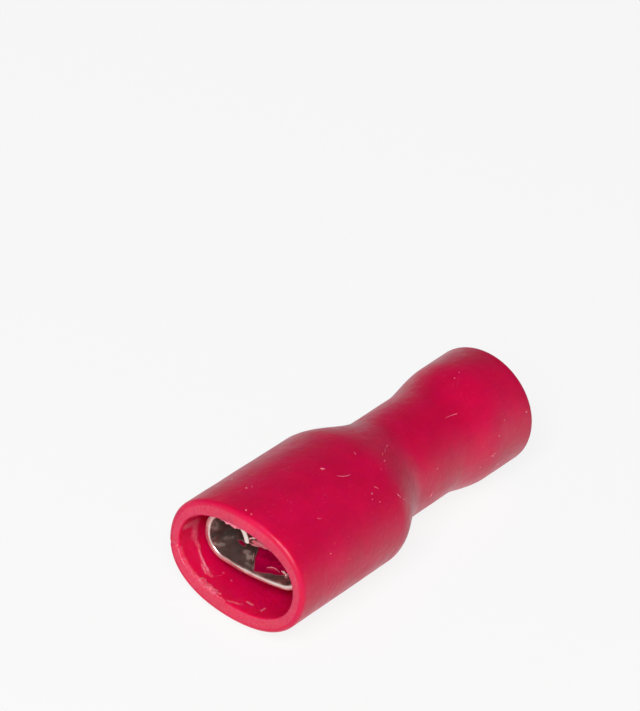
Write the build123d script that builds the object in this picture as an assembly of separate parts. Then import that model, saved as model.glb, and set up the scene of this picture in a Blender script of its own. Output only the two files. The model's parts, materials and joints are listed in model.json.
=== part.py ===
from build123d import *
import os
from collections import namedtuple

# A fully insulated female spade terminal, in millimetres: a moulded vinyl sleeve over a
# receptacle contact that is rolled up from one thin sheet.
# +X points out of the mouth, where the tab goes in. +Y runs across the tab slot and +Z is up.
# The terminal lies on its broad side, and the origin is on the surface it lies on, under the
# middle of its length. Distances called depth are measured along the axis from the mouth's face.

# Tab that the receptacle takes
tab_width = 4.8
tab_thickness = 0.8
slot_clearance = 0.05
tab_side_play = 0.4

# Contact
sheet = 0.3
lip_drop = 0.23
curl_side_height = 0.15
receptacle_lift = 0.15
receptacle_length = 6.5
lead_in_length = 1.3
lead_in_rise = 0.55
trough_length = 2.4
trough_end_flat = 0.1
trough_inset = 0.06
barrel_bore_radius = 1.2
barrel_length = 4.8
barrel_bevel = 0.12
seam_gap = 0.08
dimple_radius = 0.65
dimple_height = 0.22
dimple_setback = 3.4
contact_turn = 6.0

# Room that the sleeve leaves round the contact
mouth_recess = 1.5
side_room = 0.46
top_room = 0.62
rear_room = 0.3
barrel_play = 0.05
barrel_end_room = 0.15

# Sleeve
mouth_side_wall = 0.67
mouth_broad_wall = 0.89
housing_swell = 0.31
cavity_draft = 0.06
shoulder_length = 3.7
neck_wall = 1.25
neck_extra_height = 0.15
seat_cone_length = 0.35
wire_seat_step = 0.4
wire_seat_length = 1.6
entry_cone_length = 0.9
wire_entry_step = 0.65
flare_rise_length = 3.05
flare_length = 2.6
flare_side_wall = 0.58
flare_broad_wall = 0.83
wire_end_wall = 0.68
mouth_outer_round = 0.25
mouth_inner_round = 0.08
wire_end_outer_round = 0.16
wire_end_inner_round = 0.25

# How far the quarter curves of an oval reach towards its corner: an ellipse, and the fuller mouth
ELLIPSE = 0.5523
MOUTH_FULLNESS = 0.625

# Share of the housing's length over which it swells, and of the flare's over which it closes
CHANGE_SHARE = 2 / 3

# Where a cut ends inside a hollow it runs on by this share of its length or by this distance
CONE_OVERRUN = 0.1
CUT_OVERRUN = 0.03

# An oval across the axis
Ring = namedtuple("Ring", "depth half_width half_height fullness")

# Contact sizes that follow
slot_height = tab_thickness + slot_clearance
curl_inner_radius = slot_height + lip_drop
curl_radius = curl_inner_radius + sheet
receptacle_half_width = tab_width / 2 + tab_side_play + sheet
curl_centre = receptacle_half_width - curl_radius
curl_wall_middle = curl_inner_radius + sheet / 2
curl_top = receptacle_lift + curl_side_height + curl_radius
barrel_outer_radius = barrel_bore_radius + sheet
trough_depth = mouth_recess + receptacle_length
barrel_depth = trough_depth + trough_length
barrel_end_depth = barrel_depth + barrel_length

# Sleeve sizes that follow
housing_length = trough_depth + rear_room
neck_depth = housing_length + shoulder_length
neck_end_depth = barrel_end_depth + barrel_end_room
flare_depth = neck_end_depth + flare_rise_length
length = flare_depth + flare_length
opening_half_width = receptacle_half_width + side_room
opening_half_height = curl_top + top_room
mouth_half_width = opening_half_width + mouth_side_wall
mouth_half_height = opening_half_height + mouth_broad_wall
shoulder_half_height = mouth_half_height + housing_swell
neck_bore_radius = barrel_outer_radius + barrel_play
neck_half_width = neck_bore_radius + neck_wall
neck_half_height = neck_half_width + neck_extra_height
wire_seat_radius = neck_bore_radius + wire_seat_step
wire_entry_radius = wire_seat_radius + wire_entry_step
flare_half_width = wire_entry_radius + flare_side_wall
flare_half_height = wire_entry_radius + flare_broad_wall
wire_end_radius = wire_entry_radius + wire_end_wall
axis_height = shoulder_half_height


def across(depth):
    """Plane across the axis at a depth, its own x along +Y and its own y along +Z."""
    return Plane((length / 2 - depth, 0, axis_height), x_dir=(0, 1, 0), z_dir=(1, 0, 0))


def oval(ring):
    """Control points of the four quarter curves of an oval, which meet along the two axes."""
    tips = [
        Vector(ring.half_width, 0),
        Vector(0, ring.half_height),
        Vector(-ring.half_width, 0),
        Vector(0, -ring.half_height),
    ]
    quarters = []
    for here, there in zip(tips, tips[1:] + tips[:1]):
        flat = (here, here + there * ring.fullness, there + here * ring.fullness, there)
        quarters.append([across(ring.depth).from_local_coords(point) for point in flat])
    return quarters


def skin(*rings):
    """Four curved faces between the first and last oval, pulled towards the ovals between."""
    return [Face.make_bezier_surface(list(rows)) for rows in zip(*[oval(ring) for ring in rings])]


def end_cap(ring):
    """Flat face across the axis inside an oval."""
    return make_face([Bezier(*points) for points in oval(ring)])


def rounded_edge(ring, size, inwards):
    """Rings of a quarter round that carries a ring over into the flat face beside it.

    inwards is 1 where the body lies at greater depth than the flat face, and -1 where it lies
    at less. A positive size narrows the oval towards the face, and a negative one widens it.
    """
    reach = abs(size)
    near = 1 - ELLIPSE
    rings = []
    for away, narrowing in ((0, 1), (0, near), (near, 0), (1, 0)):
        rings.append(
            Ring(
                ring.depth + inwards * away * reach,
                ring.half_width - narrowing * size,
                ring.half_height - narrowing * size,
                ring.fullness,
            )
        )
    return rings


def level_run(first, last):
    """Rings of a stretch that leaves the first oval and arrives at the last one level."""
    third = (last.depth - first.depth) / 3
    near = first._replace(depth=first.depth + third)
    far = last._replace(depth=last.depth - third)
    return first, near, far, last


def outer_body():
    """Solid form of the sleeve: housing, shoulder, neck, rise of the flare and wire end."""
    mouth = Ring(0, mouth_half_width, mouth_half_height, MOUTH_FULLNESS)
    wire_end = Ring(length, wire_end_radius, wire_end_radius, ELLIPSE)
    mouth_edge = rounded_edge(mouth, mouth_outer_round, 1)
    wire_edge = rounded_edge(wire_end, wire_end_outer_round, -1)

    def housing(share):
        depth = mouth_outer_round + (housing_length - mouth_outer_round) * share
        early = min(1, share / CHANGE_SHARE)
        half_height = mouth_half_height + housing_swell * early
        fullness = MOUTH_FULLNESS + (ELLIPSE - MOUTH_FULLNESS) * early
        return Ring(depth, mouth_half_width, half_height, fullness)

    def flare(share):
        depth = flare_depth + (wire_edge[-1].depth - flare_depth) * share
        late = max(0, 1 - (1 - share) / CHANGE_SHARE)
        half_width = flare_half_width + (wire_end_radius - flare_half_width) * late
        half_height = flare_half_height + (wire_end_radius - flare_half_height) * late
        return Ring(depth, half_width, half_height, ELLIPSE)

    back = housing(1)
    neck_start = Ring(neck_depth, neck_half_width, neck_half_height, ELLIPSE)
    neck_end = neck_start._replace(depth=neck_end_depth)
    shoulder = level_run(back, neck_start)
    rise = level_run(neck_end, flare(0))
    faces = [end_cap(mouth_edge[0])]
    faces += skin(*mouth_edge)
    faces += skin(housing(0), housing(1 / 3), housing(2 / 3), back)
    faces += skin(*shoulder)
    faces += skin(neck_start, neck_end)
    faces += skin(*rise)
    faces += skin(flare(0), flare(1 / 3), flare(2 / 3), flare(1))
    faces += skin(*reversed(wire_edge))
    faces.append(end_cap(wire_edge[0]))
    return Solid(Shell(faces))


def housing_cavity():
    """Hollow round the receptacle, which closes on the bore of the neck."""
    opening = Ring(0, opening_half_width, opening_half_height, MOUTH_FULLNESS)
    lip = rounded_edge(opening, -mouth_inner_round, 1)
    back = Ring(
        housing_length,
        opening_half_width - cavity_draft,
        opening_half_height - cavity_draft,
        MOUTH_FULLNESS,
    )
    bore = Ring(barrel_depth, neck_bore_radius, neck_bore_radius, ELLIPSE)
    inside_bore = Ring(*[there + (there - here) * CONE_OVERRUN for here, there in zip(back, bore)])
    faces = [end_cap(lip[0])] + skin(*lip) + skin(lip[-1], back) + skin(back, inside_bore)
    return Solid(Shell(faces + [end_cap(inside_bore)]))


def wire_passage():
    """Round way from the wire end to the barrel: entry, cone, wire seat, cone and neck bore."""
    seat_start = neck_end_depth + seat_cone_length
    seat_end = seat_start + wire_seat_length
    inside_cavity = (housing_length + barrel_depth) / 2
    outline = Polyline(
        (inside_cavity, 0),
        (inside_cavity, neck_bore_radius),
        (neck_end_depth, neck_bore_radius),
        (seat_start, wire_seat_radius),
        (seat_end, wire_seat_radius),
        (seat_end + entry_cone_length, wire_entry_radius),
        (length, wire_entry_radius),
        (length, 0),
        close=True,
    )
    along = Plane((length / 2, 0, axis_height), x_dir=(-1, 0, 0), z_dir=(0, -1, 0))
    return revolve(along * make_face(outline), Axis((0, 0, axis_height), (1, 0, 0)))


def insulating_sleeve():
    """Moulded sleeve: oval housing, shoulder, neck and flared wire entry, hollow throughout."""
    sleeve = outer_body() - housing_cavity() - wire_passage()
    wire_end = sleeve.faces().sort_by(Axis.X)[0]
    return fillet(wire_end.inner_wires()[0].edges(), wire_end_inner_round)


def rolled_section():
    """Section of the receptacle: a flat base and two curls whose lips hang down to the slot.

    A curl is a quarter bend up from the base, a short straight side, half a turn and the lip.
    """
    ring = Circle(curl_radius) - Circle(curl_inner_radius)
    upper_half = Pos(0, curl_radius / 2) * Rectangle(2 * curl_radius, curl_radius)
    lower_quarter = Pos(-curl_radius / 2, -curl_radius / 2) * Rectangle(curl_radius, curl_radius)
    side = Pos(-curl_wall_middle, curl_side_height / 2) * Rectangle(sheet, curl_side_height)
    lip_place = (curl_wall_middle, (curl_side_height - lip_drop) / 2)
    lip = Pos(*lip_place) * Rectangle(sheet, curl_side_height + lip_drop)
    curl = (ring & lower_quarter) + side + Pos(0, curl_side_height) * (ring & upper_half) + lip
    curl = Pos(-curl_centre, 0) * curl
    base = Pos(0, -curl_wall_middle) * Rectangle(2 * curl_centre, sheet)
    return base + curl + mirror(curl, Plane.YZ)


def lead_in():
    """Wedge cut from the front of both lips, so that the tab finds the slot."""
    lowest = -lip_drop - CUT_OVERRUN
    slope = make_face(
        Polyline((0, lowest), (lead_in_length, lowest), (0, lowest + lead_in_rise), close=True)
    )
    start = Plane((0, 0, 0), x_dir=(0, 0, -1), z_dir=(1, 0, 0))
    return extrude(start * slope, curl_centre, both=True)


def dimple():
    """Pip pressed up from the base, and the hollow it leaves below, as two solids."""
    ball_radius = (dimple_radius**2 + dimple_height**2) / (2 * dimple_height)
    base_top = -curl_inner_radius
    centre = base_top + dimple_height - ball_radius
    layer = Box(2 * ball_radius, dimple_height, 2 * ball_radius)
    pip = Pos(0, centre, 0) * Sphere(ball_radius) & Pos(0, base_top + dimple_height / 2, 0) * layer
    hollow = Pos(0, centre - sheet, 0) * Sphere(ball_radius)
    return pip, hollow


def receptacle():
    """Rolled front part of the contact, its front edge at z = 0 and its length along -z."""
    body = extrude(rolled_section(), -receptacle_length) - lead_in()
    pip, hollow = dimple()
    place = Pos(0, 0, -dimple_setback)
    return Pos(0, receptacle_lift, 0) * (body + place * pip - place * hollow)


def trough_section(half_flat, outer_radius):
    """Section of a trough: a flat bottom between two quarter bends that end level."""
    inner_radius = outer_radius - sheet
    outer = half_flat + outer_radius
    inner = half_flat + inner_radius
    return make_face(
        [
            CenterArc((-half_flat, 0), outer_radius, 180, 90),
            Line((-half_flat, -outer_radius), (half_flat, -outer_radius)),
            CenterArc((half_flat, 0), outer_radius, 270, 90),
            Line((outer, 0), (inner, 0)),
            CenterArc((half_flat, 0), inner_radius, 270, 90),
            Line((half_flat, -inner_radius), (-half_flat, -inner_radius)),
            CenterArc((-half_flat, 0), inner_radius, 180, 90),
            Line((-inner, 0), (-outer, 0)),
        ]
    )


def trough():
    """Open stretch that narrows from the receptacle's base to just inside the barrel's wall."""
    wide = Pos(0, receptacle_lift) * trough_section(curl_centre, curl_radius)
    narrow = trough_section(trough_end_flat, barrel_outer_radius - trough_inset - trough_end_flat)
    narrow = Pos(0, -trough_inset, -trough_length) * narrow
    return Pos(0, 0, -receptacle_length) * loft([wide, narrow], ruled=True)


def crimp_barrel():
    """Barrel that is crimped on the wire, with its butt seam on top and a bevelled entry."""
    seam = Pos(0, barrel_outer_radius) * Rectangle(seam_gap, 2 * sheet + seam_gap)
    ring = Circle(barrel_outer_radius) - Circle(barrel_bore_radius) - seam
    barrel = extrude(ring, -barrel_length)
    bevel = Pos(0, 0, -barrel_length + barrel_bevel / 2) * Cone(
        barrel_bore_radius + barrel_bevel, barrel_bore_radius, barrel_bevel
    )
    return Pos(0, 0, -receptacle_length - trough_length) * (barrel - bevel)


def receptacle_contact():
    """One stamping: rolled receptacle, trough and barrel, turned a little inside the sleeve."""
    contact = receptacle() + trough() + crimp_barrel()
    return across(mouth_recess) * Rot(0, 0, contact_turn) * contact


os.makedirs("parts", exist_ok=True)
nodes = {
    "insulating_sleeve": insulating_sleeve(),
    "receptacle_contact": receptacle_contact(),
}
for name, solid in nodes.items():
    export_step(solid, f"parts/{name}.step")
    print(name, "solids", len(solid.solids()), "volume", round(solid.volume, 2))
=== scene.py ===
import json
import logging
import math
from dataclasses import dataclass
from enum import Enum
from typing import Sequence, Union

import bpy
import numpy as np
from mathutils import Matrix, Vector


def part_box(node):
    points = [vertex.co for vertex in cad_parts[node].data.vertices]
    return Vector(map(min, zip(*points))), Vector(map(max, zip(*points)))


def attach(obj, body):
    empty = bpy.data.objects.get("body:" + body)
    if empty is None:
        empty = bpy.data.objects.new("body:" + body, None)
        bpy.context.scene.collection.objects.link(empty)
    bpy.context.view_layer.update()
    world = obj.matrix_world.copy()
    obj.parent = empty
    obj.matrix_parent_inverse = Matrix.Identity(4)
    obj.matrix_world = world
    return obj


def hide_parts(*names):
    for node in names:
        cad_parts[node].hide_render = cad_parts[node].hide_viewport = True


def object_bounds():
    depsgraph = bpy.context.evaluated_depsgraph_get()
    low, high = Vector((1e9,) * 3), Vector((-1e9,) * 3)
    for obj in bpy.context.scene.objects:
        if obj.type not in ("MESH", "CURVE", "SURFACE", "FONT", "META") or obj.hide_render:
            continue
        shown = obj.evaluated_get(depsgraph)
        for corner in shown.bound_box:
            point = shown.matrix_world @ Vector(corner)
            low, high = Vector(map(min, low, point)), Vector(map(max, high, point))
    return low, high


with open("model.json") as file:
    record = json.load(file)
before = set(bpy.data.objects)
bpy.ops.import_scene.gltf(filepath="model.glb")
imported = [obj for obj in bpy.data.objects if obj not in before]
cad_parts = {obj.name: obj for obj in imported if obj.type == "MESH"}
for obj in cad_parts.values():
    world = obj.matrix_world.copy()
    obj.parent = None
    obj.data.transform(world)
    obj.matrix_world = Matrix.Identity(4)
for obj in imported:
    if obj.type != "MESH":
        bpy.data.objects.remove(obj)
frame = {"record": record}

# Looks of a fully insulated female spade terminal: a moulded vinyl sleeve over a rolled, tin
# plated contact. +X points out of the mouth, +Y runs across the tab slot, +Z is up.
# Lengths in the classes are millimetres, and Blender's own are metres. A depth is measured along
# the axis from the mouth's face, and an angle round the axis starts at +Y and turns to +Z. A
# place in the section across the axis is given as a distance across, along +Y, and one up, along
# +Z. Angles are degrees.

log = logging.getLogger("spade_terminal")

MM = 0.001
ELLIPSE = 0.5523
WELD_DECIMALS = 9
CAD_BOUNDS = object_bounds()
Value = Union[float, tuple, bpy.types.NodeSocket]


class Node(Enum):
    """CAD nodes of the terminal."""

    SLEEVE = "insulating_sleeve"
    CONTACT = "receptacle_contact"


class Slot(Enum):
    """Material slots of the record."""

    VINYL = "red_vinyl"
    TIN = "tinned_brass"


class Body(Enum):
    """Bodies that a piece can ride on."""

    ROOT = "root"


class Wall(Enum):
    """Walls of the sleeve that a mark can lie on."""

    OUTER = "outer"
    HOLLOW = "hollow"
    FACE = "face"


def mount(name: str) -> dict:
    """Mount of the record by its name."""
    return next(entry for entry in frame["record"]["mounts"] if entry["name"] == name)


def to_part(depth: np.ndarray, across: np.ndarray, up: np.ndarray) -> np.ndarray:
    """Points of the part, in metres, from a depth and a place in the section across the axis.

    Args:
        depth: Distance behind the mouth's face.
        across: Distance from the axis along +Y.
        up: Distance from the axis along +Z.

    Returns:
        Array of the same shape with a last axis of x, y and z.
    """
    low, high = (np.array(corner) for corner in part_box(Node.SLEEVE.value))
    x = high[0] - depth * MM
    z = (low[2] + high[2]) / 2 + up * MM
    return np.stack(np.broadcast_arrays(x, across * MM, z), axis=-1)


def smooth_step(value: np.ndarray, low: float, high: float) -> np.ndarray:
    """Rises from 0 at low to 1 at high as 3 t squared less 2 t cubed."""
    share = np.clip((value - low) / (high - low), 0, 1)
    return share * share * (3 - 2 * share)


def grid_quads(rows: int, columns: int, close_rows: bool) -> np.ndarray:
    """Quads of a grid of points whose columns close into a ring.

    Args:
        rows: Number of rings of points.
        columns: Points in each ring.
        close_rows: Whether the last ring joins the first.

    Returns:
        Array of four point numbers for each quad.
    """
    row = np.arange(rows if close_rows else rows - 1)[:, None]
    column = np.arange(columns)[None, :]
    after = (row + 1) % rows
    beside = (column + 1) % columns
    corners = [(row, column), (after, column), (after, beside), (row, beside)]
    return np.stack([a * columns + b for a, b in corners], axis=-1).reshape(-1, 4)


def cap_quads(first: int, columns: int) -> np.ndarray:
    """Quads that close a ring of points whose second half runs back beside its first half.

    Args:
        first: Number of the ring's first point.
        columns: Points in the ring, an even number.

    Returns:
        Array of four point numbers for each quad.
    """
    here = np.arange(columns // 2 - 1)
    there = columns - 1 - here
    return first + np.stack([here, here + 1, there - 1, there], axis=-1)


def enclosed(points: np.ndarray, quads: np.ndarray) -> float:
    """Six times the volume that the quads enclose, negative where they point inwards."""
    a, b, c, d = (points.reshape(-1, 3)[quads[:, k]] for k in range(4))
    return float((a * (np.cross(b, c) + np.cross(c, d))).sum())


def make_piece(
    name: str, points: np.ndarray, quads: np.ndarray, crease: float, weld: bool = False
) -> bpy.types.Object:
    """Object at the origin with a smooth shaded mesh whose faces point outwards.

    Args:
        name: Name of the piece.
        points: Array with a last axis of x, y and z in metres.
        quads: Four point numbers for each face.
        crease: Angle in degrees past which an edge stays sharp.
        weld: Whether points in one place, to the weld decimals of a metre, become one.

    Returns:
        The linked object.
    """
    flat = points.reshape(-1, 3)
    ordered = quads if enclosed(points, quads) > 0 else quads[:, ::-1]
    if weld:
        places, number = np.unique(flat.round(WELD_DECIMALS), axis=0, return_inverse=True)
        kept = [list(dict.fromkeys(face)) for face in number.reshape(-1)[ordered].tolist()]
        faces = [face for face in kept if len(face) > 2]
        flat = places
    else:
        faces = ordered.tolist()
    mesh = bpy.data.meshes.new(name)
    mesh.from_pydata(flat.tolist(), [], faces)
    mesh.polygons.foreach_set("use_smooth", np.ones(len(faces), dtype=bool))
    mesh.set_sharp_from_angle(angle=math.radians(crease))
    mesh.update()
    piece = bpy.data.objects.new(name, mesh)
    bpy.context.scene.collection.objects.link(piece)
    return piece


def add_mask(piece: bpy.types.Object, name: str, values: np.ndarray) -> None:
    """Gives each point of a piece a number that its material reads.

    Args:
        piece: The piece.
        name: Name of the attribute.
        values: One number for each point.
    """
    layer = piece.data.attributes.new(name, "FLOAT", "POINT")
    layer.data.foreach_set("value", values.astype(np.float32).ravel())


def install(
    piece: bpy.types.Object, material: bpy.types.Material, slot: Slot, *replaced: Node
) -> None:
    """Dresses a piece, lets it ride on the terminal and hides the CAD nodes that it stands for.

    Args:
        piece: The piece.
        material: Its finish.
        slot: The record's slot of that finish. Not used.
        replaced: CAD nodes that it stands for.
    """
    piece.data.materials.append(material)
    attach(piece, Body.ROOT.value)
    if replaced:
        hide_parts(*[node.value for node in replaced])
    log.info("%s: %d faces", piece.name, len(piece.data.polygons))


@dataclass(frozen=True)
class Unevenness:
    """Gentle waves over a surface: a sum of sines with seeded directions and phases."""

    seed: int
    longest: float
    shortest: float
    waves: int = 14

    def at(self, points: np.ndarray) -> np.ndarray:
        """Height of the waves between -1 and 1.

        Each wave is the sine of the distance along a random direction over a length between the
        longest and the shortest, and the mean of the waves is widened by the root of their count.

        Args:
            points: Array with a last axis of x, y and z in metres.

        Returns:
            One number for each point.
        """
        random = np.random.default_rng(self.seed)
        directions = random.normal(size=(self.waves, 3))
        directions /= np.linalg.norm(directions, axis=1, keepdims=True)
        lengths = np.geomspace(self.longest, self.shortest, self.waves)
        phases = random.uniform(0, 2 * math.pi, self.waves)
        turns = points / MM @ (directions * (2 * math.pi / lengths)[:, None]).T + phases
        return np.clip(np.sin(turns).mean(axis=-1) * math.sqrt(self.waves), -1, 1)


@dataclass(frozen=True)
class Ring:
    """Oval across the axis, made of four cubic quarter curves."""

    depth: float
    half_width: float
    half_height: float
    fullness: float = ELLIPSE

    def row(self) -> np.ndarray:
        """Depth, half sizes and half sizes times fullness, which blend along a skin."""
        sizes = np.array([self.half_width, self.half_height])
        return np.concatenate([[self.depth], sizes, sizes * self.fullness])

    def grown(self, deeper: float, wider: float) -> "Ring":
        """Ring moved deeper and made wider on each side."""
        width = self.half_width + wider
        return Ring(self.depth + deeper, width, self.half_height + wider, self.fullness)


def round_ring(depth: float, radius: float) -> Ring:
    """Ring with one radius."""
    return Ring(depth, radius, radius)


def blend(rings: Sequence[Ring], steps: int) -> np.ndarray:
    """Rows of a skin between its first and last ring, without the last.

    Two rings blend in a straight line. Four are the control rows of a cubic curve: the cubes of
    1 - t and t weigh the outer two, and three times their mixed products weigh the inner two.

    Args:
        rings: Two or four rings.
        steps: Number of rows.

    Returns:
        Array of rows, one for each step.
    """
    rows = [ring.row() for ring in rings]
    t = np.arange(steps)[:, None] / steps
    if len(rows) == 2:
        return rows[0] * (1 - t) + rows[1] * t
    weights = ((1 - t) ** 3, 3 * (1 - t) ** 2 * t, 3 * (1 - t) * t**2, t**3)
    return sum(weight * row for weight, row in zip(weights, rows))


def go_round(rows: np.ndarray, quarters: Sequence[int]) -> tuple[np.ndarray, np.ndarray]:
    """Points of the oval of each row.

    Along a quarter a half size falls from its full value to none as its cubic weights do, and
    the other half size rises the same way backwards. Four quarters with changing signs go round,
    the second and the fourth backwards.

    Args:
        rows: Rows of a skin.
        quarters: Points in each quarter.

    Returns:
        Places across and up, each with a row for each ring and a column for each point.
    """
    width, height, full_width, full_height = (rows[:, k, None] for k in range(1, 5))
    runs = []
    for count, (side, top) in zip(quarters, ((1, 1), (-1, 1), (-1, -1), (1, -1))):
        t = np.arange(count) / count
        t = t if side == top else 1 - t
        near, near_full = (1 - t) ** 3 + 3 * (1 - t) ** 2 * t, 3 * (1 - t) * t**2
        far, far_full = t**3 + 3 * (1 - t) * t**2, 3 * (1 - t) ** 2 * t
        across = side * (width * near + full_width * near_full)
        runs.append((across, top * (height * far + full_height * far_full)))
    across, up = (np.concatenate(part, axis=1) for part in zip(*runs))
    return across, up


def ring_radius(ring: Ring, angle: np.ndarray) -> np.ndarray:
    """Distance from the axis to a ring, read between the points of the oval.

    Args:
        ring: The ring.
        angle: Angles round the axis.

    Returns:
        One distance for each angle.
    """
    across, up = go_round(ring.row()[None, :], (90, 90, 90, 90))
    turns = np.degrees(np.arctan2(up[0], across[0]))
    return np.interp(angle, turns, np.hypot(across[0], up[0]), period=360)


def quarter_round(ring: Ring, size: float, inwards: int) -> list[Ring]:
    """Control rings of a quarter round that carries a ring over into the flat face beside it.

    Args:
        ring: Where the full ring would meet the face.
        size: Radius, positive where the oval narrows towards the face.
        inwards: 1 where the body lies deeper than the face, and -1 where it lies less deep.

    Returns:
        Four rings, from the face to the wall.
    """
    near = 1 - ELLIPSE
    reach = abs(size) * inwards
    places = ((0, 1), (0, near), (near, 0), (1, 0))
    return [ring.grown(away * reach, -narrowing * size) for away, narrowing in places]


def level_run(first: Ring, last: Ring) -> list[Ring]:
    """Control rings of a stretch that leaves the first ring and arrives at the last one level."""
    third = (last.depth - first.depth) / 3
    return [first, first.grown(third, 0), last.grown(-third, 0), last]


@dataclass(frozen=True)
class Mark:
    """Scuff, hair or lump on a wall of the sleeve, or a pale line of painted highlight.

    Its place is a depth, or on the mouth's face the distance out from the opening's edge. A slant
    of 0 runs along that, and one of 90 degrees runs round the axis. It is pale by a share, and
    stands proud of the wall by a height. Core and edge are shares of its width.
    """

    place: float
    angle: float
    length: float
    slant: float
    width: float
    pale: float
    proud: float = 0.0
    wall: Wall = Wall.OUTER
    core: float = 0.2
    edge: float = 0.6

    def cover(self, place: np.ndarray, angle: np.ndarray, radius: np.ndarray) -> np.ndarray:
        """Share of each point that the mark covers.

        The wall is unrolled into place against angle times radius. The share is full up to the
        core beside the stroke's middle line, and fades to none at the edge.

        Args:
            place: Depth of the points, or their distance out on the face.
            angle: Angle of the points in degrees.
            radius: Distance of the points from the axis.

        Returns:
            Number between 0 and 1 for each point.
        """
        down = place - self.place
        turn = np.radians((angle - self.angle + 180) % 360 - 180) * radius
        slant = math.radians(self.slant)
        along = down * math.cos(slant) + turn * math.sin(slant)
        aside = turn * math.cos(slant) - down * math.sin(slant)
        beyond = np.maximum(np.abs(along) - self.length / 2, 0)
        away = np.hypot(beyond, aside)
        return 1 - smooth_step(away, self.width * self.core, self.width * self.edge)


@dataclass(frozen=True)
class Nick:
    """Small notch in the outer edge of the mouth.

    It fades out over a zone behind the face. On the face it starts some way out from the opening
    and is whole past a share of the wall.
    """

    angle: float = -168.5
    width: float = 0.11
    bite: float = 0.09
    zone: float = 0.22
    from_opening: float = 0.1
    whole_share: float = 0.7
    pale: float = 0.6

    def share(self, depth: np.ndarray, angle: np.ndarray, radius: np.ndarray) -> np.ndarray:
        """Share of the notch at each point: a bell curve round the rim that fades with depth.

        Args:
            depth: Depth of the points.
            angle: Their angle round the axis.
            radius: Their distance from the axis.

        Returns:
            Number between 0 and 1 for each point.
        """
        turn = np.radians((angle - self.angle + 180) % 360 - 180) * radius
        bell = np.exp(-((turn / self.width * 2) ** 2))
        return bell * (1 - smooth_step(depth, 0, self.zone))


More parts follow.
